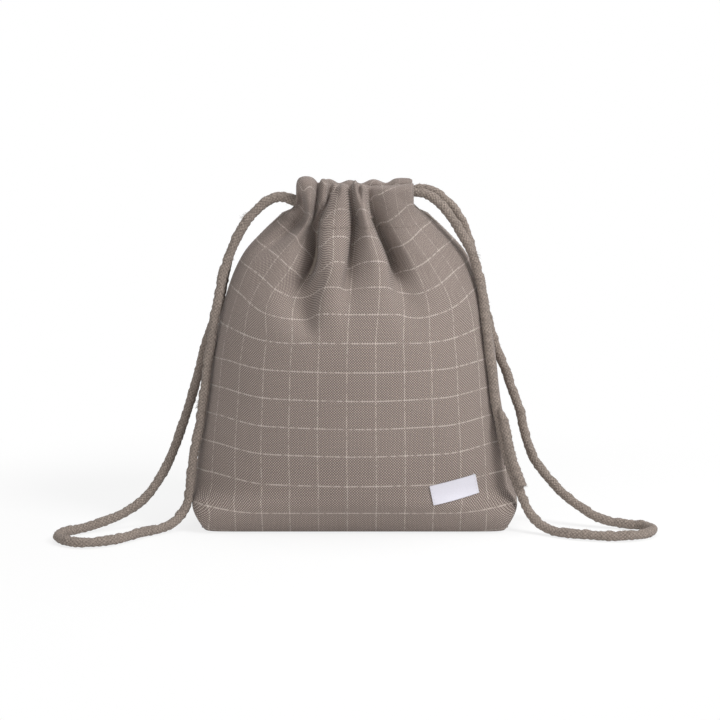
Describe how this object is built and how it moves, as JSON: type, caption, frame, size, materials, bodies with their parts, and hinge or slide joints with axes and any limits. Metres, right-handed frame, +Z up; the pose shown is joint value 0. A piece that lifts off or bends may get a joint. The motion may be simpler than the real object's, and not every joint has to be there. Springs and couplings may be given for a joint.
{
  "type": "drawstring treat pouch",
  "caption": "Standing drawstring treat pouch of checked cloth with boxed corners, a lining, a gathered casing at the mouth and drawcords that leave it as a loop on each side.",
  "frame": {"origin": "middle of the flat base, on the surface that the pouch stands on", "axes": "+X to the right along the pouch's width, -Y out of the front that carries the label, +Z up towards the mouth"},
  "size_m": [0.3214, 0.1069, 0.1903],
  "materials": {
    "outer_cloth": "matt plain-weave cotton and linen in taupe with a thin pale broken check",
    "lining_cloth": "matt plain lining cloth",
    "drawcord": "fuzzy braided cotton cord in taupe",
    "thread": "sewing thread in taupe",
    "label": "white woven satin label, blank"
  },
  "bodies": {
    "pouch": {"front_panel": "outer_cloth", "back_panel": "outer_cloth", "front_lining": "lining_cloth", "back_lining": "lining_cloth", "front_casing": "outer_cloth", "back_casing": "outer_cloth", "left_side_seam": "thread", "right_side_seam": "thread", "bottom_seam": "thread", "left_corner_seam": "thread", "right_corner_seam": "thread", "front_casing_stitch": "thread", "back_casing_stitch": "thread", "front_left_bartack": "thread", "front_right_bartack": "thread", "back_left_bartack": "thread", "back_right_bartack": "thread", "label": "label", "label_left_stitch": "thread", "label_right_stitch": "thread", "left_drawcord_run": "drawcord", "right_drawcord_run": "drawcord"},
    "left_drawcord": {"left_drawcord_front_lead": "drawcord", "left_drawcord_back_lead": "drawcord"},
    "left_loop": {"left_drawcord_loop": "drawcord"},
    "right_drawcord": {"right_drawcord_front_lead": "drawcord", "right_drawcord_back_lead": "drawcord"},
    "right_loop": {"right_drawcord_loop": "drawcord", "right_drawcord_tail": "drawcord", "right_tail_seam": "thread"}
  },
  "joints": [
    {"name": "left_pull", "type": "slide", "parent": "pouch", "child": "left_drawcord", "axis": [-1, 0, 0], "range_m": [0, 0.02]},
    {"name": "left_swing", "type": "hinge", "parent": "left_drawcord", "child": "left_loop", "pos_m": [-0.0444, 0, 0.1769], "axis": [0, 1, 0], "range_deg": [0, 80]},
    {"name": "right_pull", "type": "slide", "parent": "pouch", "child": "right_drawcord", "axis": [1, 0, 0], "range_m": [0, 0.02]},
    {"name": "right_swing", "type": "hinge", "parent": "right_drawcord", "child": "right_loop", "pos_m": [0.0444, 0, 0.1827], "axis": [0, -1, 0], "range_deg": [0, 80]}
  ]
}
